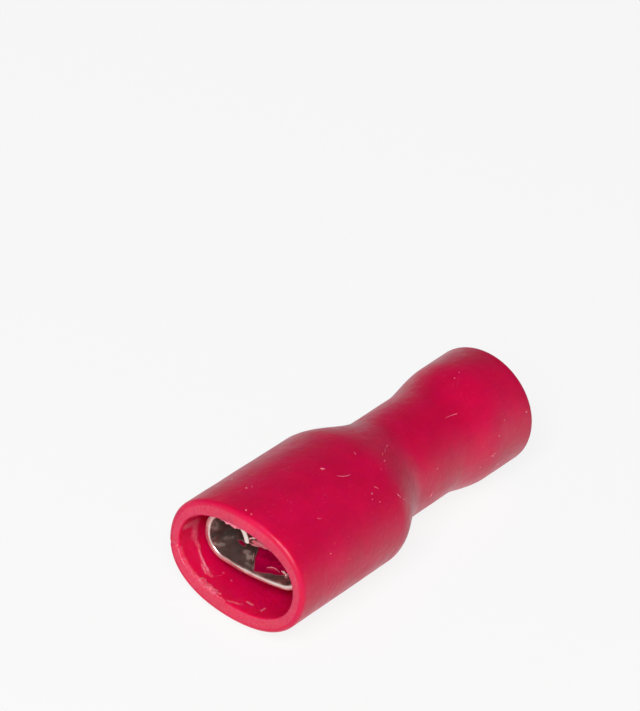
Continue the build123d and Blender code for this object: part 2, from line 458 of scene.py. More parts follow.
@dataclass
class Sleeve:
    """Moulded vinyl sleeve: oval housing, shoulder, neck and flared wire entry, hollow throughout.

    The mouth's walls, swell and rounds, the neck and the wire entry have the CAD node's sizes.
    Quarters are the points round each quarter of a row, and steps the rows of each stretch.
    """

    name: str = "vinyl_sleeve"
    mouth_fullness: float = 0.625
    mouth_side_wall: float = 0.67
    mouth_broad_wall: float = 0.89
    housing_swell: float = 0.31
    housing_length: float = 8.3
    cavity_draft: float = 0.06
    cavity_depth: float = 10.4
    shoulder_length: float = 3.7
    neck_half_width: float = 2.8
    neck_half_height: float = 2.95
    neck_bore_radius: float = 1.55
    neck_end_depth: float = 15.35
    seat_cone_length: float = 0.35
    seat_radius: float = 1.95
    seat_length: float = 1.6
    entry_cone_length: float = 0.9
    flare_rise_length: float = 3.05
    flare_side_wall: float = 0.58
    flare_broad_wall: float = 0.83
    wire_end_wall: float = 0.68
    mouth_outer_round: float = 0.25
    mouth_inner_round: float = 0.08
    wire_outer_round: float = 0.16
    wire_inner_round: float = 0.25
    quarters: tuple[int, int, int, int] = (66, 66, 114, 66)
    outer_steps: tuple[int, ...] = (9, 56, 34, 14, 24, 15, 6, 3)
    lip_steps: tuple[int, int] = (6, 7)
    inner_steps: tuple[int, ...] = (10, 7, 8, 4, 14, 12, 24, 38)
    face_steps: int = 10
    crease: float = 50.0
    worn_depth: float = 1.8
    # Paler share over the whole mouth's face: a painted sheen.
    face_sheen: float = 0.16
    sag: float = 0.015
    calm_depths: tuple[float, float] = (5.0, 8.0)
    lump_level: float = 0.75
    lump_spread: float = 0.5
    hollow_swirl: Unevenness = Unevenness(seed=21, longest=5, shortest=1.2)
    skin_swirl: Unevenness = Unevenness(seed=3, longest=9, shortest=2.2)
    lump_waves: Unevenness = Unevenness(seed=9, longest=0.7, shortest=0.22, waves=16)
    nick: Nick = Nick()
    marks: tuple[Mark, ...] = ()

    def __post_init__(self) -> None:
        """Takes the outer sizes from the CAD box and the wire entry from its mount."""
        low, high = (np.array(corner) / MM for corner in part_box(Node.SLEEVE.value))
        size = high - low
        self.length = float(size[0])
        self.mouth_half_width = float(size[1]) / 2
        self.mouth_half_height = float(size[2]) / 2 - self.housing_swell
        self.entry_radius = mount("wire_entry")["dims"]["r_mm"]
        width, height = self.mouth_half_width, self.mouth_half_height
        self.mouth = Ring(0, width, height, self.mouth_fullness)
        self.opening = Ring(
            0, width - self.mouth_side_wall, height - self.mouth_broad_wall, self.mouth_fullness
        )
        self.wire_lip = quarter_round(
            round_ring(self.length, self.entry_radius), -self.wire_inner_round, -1
        )

    def housing(self, share: float) -> Ring:
        """Control ring of the housing, which swells over its first two thirds.

        Args:
            share: Share of the housing's length, from the mouth's round.

        Returns:
            The ring.
        """
        run = self.housing_length - self.mouth_outer_round
        early = min(1, 1.5 * share)
        height = self.mouth_half_height + self.housing_swell * early
        full = self.mouth_fullness + (ELLIPSE - self.mouth_fullness) * early
        return Ring(self.mouth_outer_round + run * share, self.mouth_half_width, height, full)

    def flare(self, share: float) -> Ring:
        """Control ring of the flare, which turns round over its last two thirds.

        Args:
            share: Share of the length between the flare's rise and the wire end's round.

        Returns:
            The ring.
        """
        start = self.neck_end_depth + self.flare_rise_length
        run = self.length - self.wire_outer_round - start
        late = max(0, 1.5 * share - 0.5)
        end_radius = self.entry_radius + self.wire_end_wall
        width = self.entry_radius + self.flare_side_wall
        height = self.entry_radius + self.flare_broad_wall
        width += (end_radius - width) * late
        return Ring(start + run * share, width, height + (end_radius - height) * late)

    def outer_rows(self) -> np.ndarray:
        """Rows of the outer wall, from the mouth's round over the wire end.

        Returns:
            Array of rows.
        """
        thirds = (0, 1 / 3, 2 / 3, 1)
        neck_depth = self.housing_length + self.shoulder_length
        neck = Ring(neck_depth, self.neck_half_width, self.neck_half_height)
        neck_end = neck.grown(self.neck_end_depth - neck_depth, 0)
        end = round_ring(self.length, self.entry_radius + self.wire_end_wall)
        wire_edge = quarter_round(end, self.wire_outer_round, -1)
        runs = [
            quarter_round(self.mouth, self.mouth_outer_round, 1),
            [self.housing(share) for share in thirds],
            level_run(self.housing(1), neck),
            [neck, neck_end],
            level_run(neck_end, self.flare(0)),
            [self.flare(share) for share in thirds],
            wire_edge[::-1],
            [wire_edge[0], self.wire_lip[0]],
        ]
        return np.concatenate([blend(run, steps) for run, steps in zip(runs, self.outer_steps)])

    def inner_rows(self) -> np.ndarray:
        """Rows of the hollow, from the wire entry's lip to the mouth, and of the mouth's face.

        Returns:
            Array of rows.
        """
        lip = quarter_round(self.opening, -self.mouth_inner_round, 1)
        back = self.opening.grown(self.housing_length, -self.cavity_draft)
        draft_here = self.cavity_draft * self.worn_depth / self.housing_length
        worn = self.opening.grown(self.worn_depth, -draft_here)
        seat_start = self.neck_end_depth + self.seat_cone_length
        seat_end = seat_start + self.seat_length
        stops = [
            self.wire_lip[-1],
            round_ring(seat_end + self.entry_cone_length, self.entry_radius),
            round_ring(seat_end, self.seat_radius),
            round_ring(seat_start, self.seat_radius),
            round_ring(self.neck_end_depth, self.neck_bore_radius),
            round_ring(self.cavity_depth, self.neck_bore_radius),
            back,
            worn,
            lip[-1],
        ]
        walls = zip(stops, stops[1:], self.inner_steps)
        mouth_edge = quarter_round(self.mouth, self.mouth_outer_round, 1)
        return np.concatenate(
            [
                blend(self.wire_lip, self.lip_steps[0]),
                *(blend([here, there], steps) for here, there, steps in walls),
                blend(lip[::-1], self.lip_steps[1]),
                blend([lip[0], mouth_edge[0]], self.face_steps),
            ]
        )

    def build(self) -> bpy.types.Object:
        """Skin of the sleeve: a closed ring of rows by a closed ring of points.

        Each point then moves towards the axis by the sag of the moulding, which is a share of
        gentle waves, and none in the hollow past the calm depths. A lump on a wall moves it off
        the wall by its height, made uneven by finer waves, and the nick moves the outer part of
        the rim back and in by its bite.

        Returns:
            The sleeve's piece.
        """
        outer, inner = self.outer_rows(), self.inner_rows()
        rows = np.concatenate([outer, inner])
        across, up = go_round(rows, self.quarters)
        depth = rows[:, :1] + across * 0
        radius = np.hypot(across, up)
        angle = np.degrees(np.arctan2(up, across))
        points = to_part(depth, across, up)
        number = np.arange(len(rows))[:, None]
        face_start = len(rows) - self.face_steps
        walls = {
            Wall.OUTER: number < len(outer),
            Wall.HOLLOW: (number >= len(outer)) & (number <= face_start),
            Wall.FACE: number >= face_start,
        }
        beyond_opening = radius - ring_radius(self.opening, angle)
        # The mask starts with the painted sheen on the face, then takes the pale marks and the
        # nick.
        scuff, proud = walls[Wall.FACE] * self.face_sheen, np.zeros_like(depth)
        for mark in self.marks:
            place = beyond_opening if mark.wall is Wall.FACE else depth
            cover = mark.cover(place, angle, radius) * walls[mark.wall]
            scuff = np.maximum(scuff, cover * mark.pale)
            proud = np.maximum(proud, cover * mark.proud)
        ragged = self.lump_level + self.lump_spread * self.lump_waves.at(points)
        hollow = walls[Wall.HOLLOW]
        swirl = np.where(hollow, self.hollow_swirl.at(points), self.skin_swirl.at(points))
        calm = np.where(hollow, 1 - smooth_step(depth, *self.calm_depths), 1)
        inwards = self.sag * (0.5 + 0.5 * swirl) * calm
        inwards = inwards + proud * ragged * np.where(hollow, 1, -1)
        nick = self.nick.share(depth, angle, radius)
        whole = self.mouth_side_wall * self.nick.whole_share
        nick = nick * smooth_step(beyond_opening, self.nick.from_opening, whole)
        inwards = inwards + nick * self.nick.bite
        shrink = 1 - inwards / radius
        points = to_part(depth + nick * self.nick.bite, across * shrink, up * shrink)
        quads = grid_quads(len(rows), sum(self.quarters), close_rows=True)
        piece = make_piece(self.name, points, quads, self.crease)
        add_mask(piece, "scuff", np.maximum(scuff, nick * self.nick.pale))
        return piece

    def on_skin(self, depth: float, angle: float, lift: float = 0.0) -> tuple[float, float, float]:
        """Point on the outer wall, lifted off it.

        Args:
            depth: Its depth.
            angle: Its angle round the axis.
            lift: Its distance from the wall.

        Returns:
            Its depth and its places across and up.
        """
        rows = self.outer_rows()
        _, width, height, full, _ = (np.interp(depth, rows[:, 0], column) for column in rows.T)
        ring = Ring(depth, float(width), float(height), float(full / width))
        radius = float(ring_radius(ring, np.array(angle))) + lift
        turn = math.radians(angle)
        return depth, radius * math.cos(turn), radius * math.sin(turn)

    def dress(self, material: bpy.types.Material) -> bpy.types.Object:
        """Builds the sleeve and puts it in the place of its CAD node.

        Args:
            material: Its finish.

        Returns:
            The sleeve's piece.
        """
        piece = self.build()
        install(piece, material, Slot.VINYL, Node.SLEEVE)
        return piece


@dataclass(frozen=True)
class Crumb:
    """Ragged lump of vinyl, with its place and its half size across, up and along the axis."""

    across: float
    up: float
    depth: float
    size: tuple[float, float, float]
    waves: Unevenness = Unevenness(seed=41, longest=0.4, shortest=0.09, waves=16)
    raggedness: float = 0.38

    def grid(self, rows: int, columns: int) -> np.ndarray:
        """Points of a ball stretched to the half sizes, whose radius is made uneven by waves.

        The waves are read near the lump's own place, so that no two lumps are alike.

        Args:
            rows: Number of rings from pole to pole.
            columns: Points in each ring.

        Returns:
            Array of rows and columns of x, y and z.
        """
        tilt = np.linspace(0, math.pi, rows)[:, None]
        turn = np.linspace(0, 2 * math.pi, columns, endpoint=False)[None, :]
        ways = (np.sin(tilt) * np.cos(turn), np.sin(tilt) * np.sin(turn), np.cos(tilt) + turn * 0)
        near = to_part(self.size[2] * ways[2], self.size[0] * ways[0], self.size[1] * ways[1])
        shift = np.array([self.across, self.up, self.depth]) * MM
        uneven = 1 + self.raggedness * self.waves.at(near + shift)
        across, up, deeper = (way * size * uneven for way, size in zip(ways, self.size))
        return to_part(self.depth + deeper, self.across + across, self.up + up)


@dataclass(frozen=True)
class Strand:
    """Torn thread of vinyl through three points, each a depth, a place across and one up.

    Pinch says how blunt its ends are, and a wobble makes its size uneven along it.
    """

    start: tuple[float, float, float]
    middle: tuple[float, float, float]
    end: tuple[float, float, float]
    width: float
    thickness: float = 0.05
    pinch: float = 0.25
    wobble: float = 0.25
    wobble_rate: float = 17.0
    wobble_shift: float = 40.0

    def grid(self, rows: int, columns: int) -> np.ndarray:
        """Points of a flat oval section carried along the thread, pinched at both ends.

        The line is the parabola that passes the three points at t of 0, a half and 1. The
        section lies across it. Its size is 4 t times 1 - t to the power of the pinch, times one
        plus the wobble times the sine of t times the rate plus the width times the shift.

        Args:
            rows: Number of sections.
            columns: Points in each section.

        Returns:
            Array of rows and columns of x, y and z.
        """
        t = np.linspace(0, 1, rows)[:, None]
        first, second, third = (np.array(point) for point in (self.start, self.middle, self.end))
        line = first * (1 - t) * (1 - 2 * t) + second * 4 * t * (1 - t) + third * t * (2 * t - 1)
        along = np.gradient(line, axis=0)
        along /= np.linalg.norm(along, axis=1, keepdims=True)
        broad = np.cross(along, (1.0, 0.0, 0.0))
        broad /= np.linalg.norm(broad, axis=1, keepdims=True)
        thin = np.cross(along, broad)
        uneven = 1 + self.wobble * np.sin(t * self.wobble_rate + self.width * self.wobble_shift)
        size = (4 * t * (1 - t)) ** self.pinch * uneven
        turn = np.linspace(0, 2 * math.pi, columns, endpoint=False)[None, :, None]
        section = broad[:, None] * np.cos(turn) * self.width
        section = section + thin[:, None] * np.sin(turn) * self.thickness
        places = line[:, None] + section * size[:, :, None] / 2
        return to_part(places[..., 0], places[..., 1], places[..., 2])


@dataclass(frozen=True)
class Fibre:
    """Hair that lies on the sleeve: three places, each a depth and an angle, and its width."""

    start: tuple[float, float]
    middle: tuple[float, float]
    end: tuple[float, float]
    width: float = 0.04
    thickness: float = 0.025
    lift: float = 0.01

    def laid_on(self, sleeve: Sleeve) -> Strand:
        """Thread through the three places, lifted off the sleeve's skin."""
        places = [sleeve.on_skin(*at, lift=self.lift) for at in (self.start, self.middle, self.end)]
        return Strand(*places, width=self.width, thickness=self.thickness)


@dataclass(frozen=True)
class Speck:
    """Grain of dust that sticks to the sleeve: a depth, an angle and a radius."""

    depth: float
    angle: float
    radius: float
    flatness: float = 0.8
    raggedness: float = 0.25

    def laid_on(self, sleeve: Sleeve) -> Crumb:
        """Lump half sunk into the sleeve's skin.

        Args:
            sleeve: The sleeve that it sticks to.

        Returns:
            The lump.
        """
        depth, across, up = sleeve.on_skin(self.depth, self.angle)
        size = (self.radius, self.radius * self.flatness, self.radius)
        return Crumb(across, up, depth, size, raggedness=self.raggedness)


@dataclass
class LooseBits:
    """Small lumps and threads, joined in one piece."""

    name: str
    bits: Sequence[Union[Crumb, Strand]]
    rows: int = 22
    columns: int = 20
    crease: float = 60.0

    def dress(self, material: bpy.types.Material) -> bpy.types.Object:
        """Builds the bits as one piece that rides with the sleeve, each turned to face outwards.

        Args:
            material: Their finish.

        Returns:
            The piece.
        """
        grids = [bit.grid(self.rows, self.columns) for bit in self.bits]
        quads = grid_quads(self.rows, self.columns, close_rows=False)
        turned = [quads if enclosed(grid, quads) > 0 else quads[:, ::-1] for grid in grids]
        count = self.rows * self.columns
        every = np.concatenate([part + count * k for k, part in enumerate(turned)])
        piece = make_piece(self.name, np.stack(grids), every, self.crease, weld=True)
        add_mask(piece, "scuff", np.ones(len(piece.data.vertices)))
        install(piece, material, Slot.VINYL)
        return piece


@dataclass(frozen=True)
class Patch:
    """Oval patch of painted light on the inside of the receptacle, for the painted highlights and
    the painted red spots.

    Its middle, half sizes and slant are given on the plane of the contact's front end. It lies
    where the lines of sight from above the mouth that pass that oval meet the sheet. Core and
    edge are shares of its half sizes.
    """

    across: float
    up: float
    half_width: float
    half_height: float
    slant: float
    share: float
    core: float = 0.3
    edge: float = 1.3

    def cover(self, across: np.ndarray, up: np.ndarray) -> np.ndarray:
        """Share of each point that the patch covers, full in its core and none past its edge.

        Args:
            across: Place of each point's line of sight on the front plane.
            up: Its height there.

        Returns:
            Number between 0 and the patch's share for each point.
        """
        slant = math.radians(self.slant)
        aside, above = across - self.across, up - self.up
        along = (aside * math.cos(slant) + above * math.sin(slant)) / self.half_width
        beside = (above * math.cos(slant) - aside * math.sin(slant)) / self.half_height
        return self.share * (1 - smooth_step(np.hypot(along, beside), self.core, self.edge))


@dataclass(frozen=True)
class PaintedReflection:
    """Dark red painted reflection of the red sleeve on one half of the receptacle's base.

    It lies past a line of sight at its side, above one that rises slowly from the base's front
    edge, and ends at a length behind that edge. Waves shift both lines. It grows stronger with
    depth.
    """

    side: float = 0.06
    floor: float = -1.00
    slope: float = 0.36
    length: float = 2.0
    fade_length: float = 0.8
    waver: float = 0.06
    side_fade: tuple[float, float] = (-0.09, 0.09)
    floor_fade: tuple[float, float] = (-0.05, 0.11)
    faint_share: float = 0.5
    strengthening: tuple[float, float] = (0.3, 1.6)

    def cover(
        self, behind: np.ndarray, across: np.ndarray, up: np.ndarray, waves: np.ndarray
    ) -> np.ndarray:
        """Share of each point that the painted reflection covers, which is also how strong it is.

        The shares past the side, above the floor and before the end are multiplied, and so is
        the strength, which goes from the faint share to one.

        Args:
            behind: Distance of the points behind the front end.
            across: Place of each point's line of sight on the front plane.
            up: Its height there.
            waves: Waves between -1 and 1 at the points.

        Returns:
            Number between 0 and 1 for each point.
        """
        floor = self.floor + self.slope * np.clip(across - self.side, 0, None)
        shift = self.waver * waves
        past_side = smooth_step(across - self.side + shift, *self.side_fade)
        above_floor = smooth_step(up - floor + shift, *self.floor_fade)
        before_end = 1 - smooth_step(behind, self.length, self.length + self.fade_length)
        # The painted reflection is faint at the front end and grows stronger with depth.
        thickness = smooth_step(behind, *self.strengthening)
        thickness = self.faint_share + (1 - self.faint_share) * thickness
        return past_side * above_floor * before_end * thickness


@dataclass
class Contact:
    """Stamped contact: rolled receptacle with hanging lips, trough, and crimp barrel with a seam.

    It is one sheet. At each depth the sheet lies flat over half_flat on both sides of the middle,
    then bends up by a quarter turn, rises by the side height, bends over by a half turn, and
    hangs straight down. The receptacle's flat base bows outwards a little. Sight is how far the
    line of sight from above the mouth moves across and up for each millimetre towards it. Hair
    is the depth in which one width of the blank gives way to the next.
    """

    name: str = "rolled_contact"
    sheet: float = 0.3
    curl_inner_radius: float = 1.08
    half_flat: float = 1.72
    curl_side_height: float = 0.15
    receptacle_lift: float = 0.15
    base_bow: float = 0.12
    lip_drop: float = 0.23
    front_depth: float = 1.5
    receptacle_length: float = 6.5
    lead_in_length: float = 1.3
    lead_in_rise: float = 0.55
    worn_lip_rise: float = 0.85
    trough_length: float = 2.4
    trough_end_flat: float = 0.1
    trough_inset: float = 0.06
    barrel_length: float = 4.8
    seam_gap: float = 0.08
    dimple_radius: float = 0.65
    dimple_height: float = 0.22
    dimple_setback: float = 3.4
    turn: float = 6.0
    cut_round: float = 0.075
    hair: float = 0.06
    side_steps: int = 84
    cut_steps: int = 3
    receptacle_rows: int = 84
    leaving_rows: int = 25
    trough_rows: int = 25
    closing_rows: int = 17
    barrel_rows: int = 36
    crease: float = 38.0
    burr: float = 0.008
    burr_reach: float = 0.3
    ripple: float = 0.004
    rubbed_share: float = 0.52
    rubbed_spread: float = 0.25
    inner_share: float = 0.9
    sight: tuple[float, float] = (0.605, 0.802)
    # Painted light on the receptacle's inside: a red reflection of the sleeve, lighter highlights
    # and red spots.
    film: PaintedReflection = PaintedReflection()
    painted_highlights: tuple[Patch, ...] = ()
    reflected_spots: tuple[Patch, ...] = ()
    waves: Unevenness = Unevenness(seed=12, longest=3.5, shortest=0.7)
    burr_waves: Unevenness = Unevenness(seed=31, longest=1.8, shortest=0.5)

    def __post_init__(self) -> None:
        """Takes the barrel's bore from its mount."""
        self.barrel_radius = mount("crimp_barrel")["dims"]["r_mm"] + self.sheet / 2
        self.bend_radius = self.curl_inner_radius + self.sheet / 2
        self.curls_end = self.front_depth + self.receptacle_length
        self.barrel_depth = self.curls_end + self.trough_length
        self.rear_depth = self.barrel_depth + self.barrel_length

    def lip_reach(self, depth: np.ndarray, lead_in_rise: float) -> np.ndarray:
        """Half width of the flat blank along the receptacle, on one side.

        The lips hang down past the foot of the curls' sides by the lip drop. Over the lead-in
        their ends rise in a straight line to the front, first up the hanging part and then back
        round the curl.

        Args:
            depth: Depths along the receptacle.
            lead_in_rise: How far the lip's end has risen at the front.

        Returns:
            Distance along the sheet from its middle to its edge.
        """
        behind = depth - self.front_depth
        rise = lead_in_rise * np.clip(1 - behind / self.lead_in_length, 0, 1)
        end_height = rise - self.lip_drop - self.curl_side_height
        whole = self.half_flat + self.bend_radius * 1.5 * math.pi + self.curl_side_height
        back = self.bend_radius * np.arcsin(np.clip(end_height / self.bend_radius, 0, 1))
        return whole - back + np.clip(-end_height, 0, None)

    def stations(self) -> dict[str, np.ndarray]:
        """Depth, half flat, bend, side height, lift, reach and fullness of the sheet by row.

        Between the receptacle, the trough and the barrel the reach changes within a hair's
        breadth of depth, which makes the square cut ends of the curls and of the barrel.

        Returns:
            One array for each quantity.
        """
        hair = self.hair
        round_turn = np.linspace(0, math.pi / 2, self.cut_steps + 1)
        thin = 1 - self.cut_round * 2 / self.sheet * (1 - np.sin(round_turn))
        front = self.front_depth + self.cut_round * (1 - np.cos(round_turn))
        rear = self.rear_depth - self.cut_round * (1 - np.cos(round_turn[::-1]))
        runs = [
            front,
            np.linspace(front[-1], self.curls_end - hair, self.receptacle_rows)[1:],
            np.linspace(self.curls_end - hair, self.curls_end, self.leaving_rows)[1:],
            np.linspace(self.curls_end, self.barrel_depth, self.trough_rows)[1:],
            np.linspace(self.barrel_depth, self.barrel_depth + hair, self.closing_rows)[1:],
            np.linspace(self.barrel_depth + hair, rear[0], self.barrel_rows)[1:-1],
            rear,
        ]
        depth = np.concatenate(runs)
        fullness = np.concatenate([thin, np.ones(len(depth) - 2 * len(thin)), thin[::-1]])
        places = [self.front_depth, self.curls_end, self.barrel_depth, self.barrel_depth + hair]
        narrow = self.barrel_radius - self.trough_inset - self.trough_end_flat
        half_flat = np.interp(depth, places, [self.half_flat] * 2 + [self.trough_end_flat, 0])
        bend = np.interp(depth, places, [self.bend_radius] * 2 + [narrow, self.barrel_radius])
        lift = np.interp(depth, places, [self.receptacle_lift] * 2 + [-self.trough_inset, 0])
        side = np.interp(depth, places, [self.curl_side_height] * 2 + [0, 0])
        open_reach = half_flat + bend * math.pi / 2
        closed_reach = bend * math.pi - self.seam_gap / 2
        leaving = np.clip((depth - self.curls_end + hair) / hair, 0, 1)
        closing = np.clip((depth - self.barrel_depth) / hair, 0, 1)
        reaches = []
        for lead_in_rise in (self.lead_in_rise, self.worn_lip_rise):
            reach = self.lip_reach(depth, lead_in_rise) * (1 - leaving) + open_reach * leaving
            reaches.append(reach * (1 - closing) + closed_reach * closing)
        return {
            "depth": depth,
            "half_flat": half_flat,
            "bend": bend,
            "lift": lift,
            "side": side,
            "left_reach": reaches[0],
            "right_reach": reaches[1],
            "fullness": fullness,
        }

    def outline(self, left: np.ndarray, right: np.ndarray) -> tuple[np.ndarray, np.ndarray]:
        """Outline of the sheet laid flat: way from its middle, and place in its thickness.

        It runs along the outer face from one cut edge to the other and back along the inner
        face. The corners of the cut edges are rounded.

        Args:
            left: Reach of the sheet on the side of -Y for each row.
            right: Reach on the side of +Y.

        Returns:
            Way and place, each with a row for each station and a column for each point.
        """
        corner = np.linspace(0, math.pi / 2, self.cut_steps + 1)[1:]
        flat = np.linspace(-1, 1, 2 * self.side_steps + 1)
        size = self.cut_round
        past = size * np.sin(corner)
        below = size * (1 - np.cos(corner))
        left, right = left[:, None] - size, right[:, None] - size
        middle = np.where(flat < 0, left, right) * flat
        half = np.concatenate([-left - past[::-1], middle, right + past], axis=1)
        height = np.concatenate([-below[::-1], np.zeros(len(flat)), -below]) + self.sheet / 2
        way = np.concatenate([half, half[:, ::-1]], axis=1)
        place = np.concatenate([height, -height[::-1]])
        return way, place[None, :] + way * 0

    def build(self) -> bpy.types.Object:
        """Skin of the contact: the sheet's outline bent at each depth, and capped at both ends.

        On the bend the sheet's middle is at the bend radius times the sine and minus the cosine
        of the turn, and the thickness goes out along the same direction. The bow lowers the base
        by one minus the square of the way over half_flat. The dimple lifts the base by the
        height of a ball's cap. Near the front end the burr moves points back unevenly. The masks
        are the cut edges, the painted highlights and the painted red reflection, the last two on
        the inner face only.

        Returns:
            The contact's piece.
        """
        rows = self.stations()
        depth, half_flat, bend, lift, side, fullness = (
            rows[key][:, None] for key in ("depth", "half_flat", "bend", "lift", "side", "fullness")
        )
        way, place = self.outline(rows["left_reach"], rows["right_reach"])
        place = place * fullness
        far = np.abs(way)
        past_flat = far - half_flat
        past_quarter = past_flat - bend * math.pi / 2
        past_side = past_quarter - side
        turn = np.clip(past_flat / bend, 0, math.pi / 2) + np.clip(past_side / bend, 0, math.pi)
        rise = np.clip(past_quarter, 0, side)
        hanging = np.clip(past_side - bend * math.pi, 0, None)
        out = bend + place
        across = (np.minimum(far, half_flat) + out * np.sin(turn)) * np.sign(way)
        up = lift - out * np.cos(turn) + rise - hanging
        depth = depth + across * 0
        leaves = 1 - smooth_step(depth, self.curls_end, self.barrel_depth)
        flat = np.maximum(half_flat, self.trough_end_flat)
        up = up - self.base_bow * leaves * np.clip(1 - (far / flat) ** 2, 0, 1)
        from_dimple = np.hypot(across, depth - self.front_depth - self.dimple_setback)
        ball = self.dimple_radius**2 + self.dimple_height**2
        ball /= 2 * self.dimple_height
        cap = np.sqrt(np.clip(ball**2 - from_dimple**2, 0, None)) - ball + self.dimple_height
        up = up + np.where(turn == 0, np.clip(cap, 0, None), 0)
        spots = to_part(depth, across, up)
        near_front = 1 - smooth_step(depth, self.front_depth, self.front_depth + self.burr_reach)
        at_front = depth < self.front_depth + self.cut_round / 2
        depth = depth + near_front * self.burr * (1 + self.burr_waves.at(spots))
        up = up + self.ripple * self.waves.at(spots)
        tilt = math.radians(self.turn)
        turned_across = across * math.cos(tilt) - up * math.sin(tilt)
        turned_up = across * math.sin(tilt) + up * math.cos(tilt)
        points = to_part(depth, turned_across, turned_up)
        count, columns = way.shape
        quads = grid_quads(count, columns, close_rows=False)
        front = cap_quads(0, columns)
        rear = cap_quads((count - 1) * columns, columns)[:, ::-1]
        piece = make_piece(self.name, points, np.concatenate([quads, front, rear]), self.crease)
        cut = np.maximum(self.sheet / 2 - np.abs(place) > self.cut_round / 8, at_front)
        rubbed = self.rubbed_share * (1 + self.rubbed_spread * self.burr_waves.at(spots))
        add_mask(piece, "cut", cut * np.where(past_side > 0, 1, rubbed))
        inside = (place < -self.sheet / 2 * self.inner_share) & (depth < self.curls_end)
        # Painted light on the inner face: lighter highlights, and the red reflection of the sleeve
        # with its red spots.
        add_mask(piece, "gleam", inside * self.highlighted(depth, across, up))
        add_mask(piece, "film", inside * self.reflected(depth, across, up))
        return piece

    def sighted(
        self, depth: np.ndarray, across: np.ndarray, up: np.ndarray
    ) -> tuple[np.ndarray, np.ndarray]:
        """Where the line of sight of each point passes the plane of the front end."""
        behind = depth - self.front_depth
        return across + self.sight[0] * behind, up + self.sight[1] * behind

    def highlighted(self, depth: np.ndarray, across: np.ndarray, up: np.ndarray) -> np.ndarray:
        """Share of each point that is a lighter patch of painted highlight on the plating."""
        seen = self.sighted(depth, across, up)
        return np.max([patch.cover(*seen) for patch in self.painted_highlights], axis=0)

    def reflected(self, depth: np.ndarray, across: np.ndarray, up: np.ndarray) -> np.ndarray:
        """Share of each point that is covered by the painted red reflection on the base, or by a
        painted red spot elsewhere.

        Args:
            depth: Depth of the points.
            across: Their place across the contact.
            up: Their height.

        Returns:
            Number between 0 and 1 for each point.
        """
        seen = self.sighted(depth, across, up)
        waves = self.burr_waves.at(to_part(depth, across, up))
        film = self.film.cover(depth - self.front_depth, *seen, waves)
        return np.max([film] + [red_spot.cover(*seen) for red_spot in self.reflected_spots], axis=0)

    def dress(self, material: bpy.types.Material) -> bpy.types.Object:
        """Builds the contact and puts it in the place of its CAD node.

        Args:
            material: Its finish.

        Returns:
            The contact's piece.
        """
        piece = self.build()
        install(piece, material, Slot.TIN, Node.CONTACT)
        return piece


class Graph:
    """Short way to lay out the nodes of a material or of the world."""

    def __init__(self, owner: Union[bpy.types.Material, bpy.types.World]) -> None:
        """Empties the owner's node tree.

        Args:
            owner: The material or world.
        """
        owner.use_nodes = True
        self.tree = owner.node_tree
        self.tree.nodes.clear()

    def add(
        self, kind: str, sockets: Union[dict, None] = None, **settings: object
    ) -> bpy.types.Node:
        """Adds a node, sets its properties, and sets or links its sockets.

        Args:
            kind: The node's type, without its ShaderNode prefix.
            sockets: Values or linked sockets by the name or number of an input.
            settings: Properties of the node.

        Returns:
            The node.
        """
        node = self.tree.nodes.new("ShaderNode" + kind)
        for key, value in settings.items():
            setattr(node, key, value)
        for key, value in (sockets or {}).items():
            self.feed(node.inputs[key], value)
        return node

    def feed(self, socket: bpy.types.NodeSocket, value: Value) -> None:
        """Links a socket to another, or sets its value.

        Args:
            socket: The input.
            value: A number, a tuple or the output that feeds it.
        """
        if isinstance(value, bpy.types.NodeSocket):
            self.tree.links.new(value, socket)
        else:
            socket.default_value = value

    def math(self, operation: str, first: Value, second: Value = 0.0) -> bpy.types.NodeSocket:
        """Result of a Math node."""
        return self.add("Math", {0: first, 1: second}, operation=operation).outputs[0]

    def mix(self, share: Value, first: Value, second: Value) -> bpy.types.NodeSocket:
        """Colour between two colours."""
        sockets = {0: share, 6: first, 7: second}
        return self.add("Mix", sockets, data_type="RGBA", clamp_factor=True).outputs[2]

    def ramp(
        self, value: Value, low: float, high: float, start: float = 0.0, end: float = 1.0
    ) -> bpy.types.NodeSocket:
        """Smooth change from start to end while the value goes from low to high."""
        sockets = {0: value, 1: low, 2: high, 3: start, 4: end}
        return self.add("MapRange", sockets, interpolation_type="SMOOTHSTEP").outputs[0]

    def place(
        self, scale: tuple[float, float, float], turn: tuple[float, float, float] = (0, 0, 0)
    ) -> bpy.types.NodeSocket:
        """Object coordinates in millimetres, turned and then stretched along each axis.

        Args:
            scale: Stretch along x, y and z.
            turn: Angles about x, y and z.

        Returns:
            The coordinates.
        """
        here = self.add("TexCoord").outputs["Object"]
        radians = tuple(math.radians(angle) for angle in turn)
        turned = self.add("Mapping", {"Vector": here, "Rotation": radians})
        full = tuple(part / MM for part in scale)
        return self.add("Mapping", {"Vector": turned.outputs[0], "Scale": full}).outputs[0]

    def noise(self, vector: Value, scale: float, detail: float, rough: float) -> Value:
        """Cloudy pattern between 0 and 1."""
        sockets = {"Vector": vector, "Scale": scale, "Detail": detail, "Roughness": rough}
        return self.add("TexNoise", sockets).outputs[0]

    def attribute(self, name: str) -> bpy.types.NodeSocket:
        """Number that the piece's points carry."""
        return self.add("Attribute", attribute_name=name).outputs["Fac"]

    def bump(
        self, height: Value, size: float, under: Union[bpy.types.NodeSocket, None] = None
    ) -> bpy.types.NodeSocket:
        """Normal tilted by a relief.

        Args:
            height: Pattern of the relief.
            size: Its height in millimetres where the pattern is 1.
            under: Normal of a coarser relief below it.

        Returns:
            The normal.
        """
        sockets = {"Strength": 1.0, "Distance": size * MM, "Height": height}
        below = {"Normal": under} if under else {}
        return self.add("Bump", sockets | below).outputs[0]


def colour(red: float, green: float, blue: float) -> tuple[float, float, float, float]:
    """Opaque colour, in linear light."""
    return (red, green, blue, 1.0)


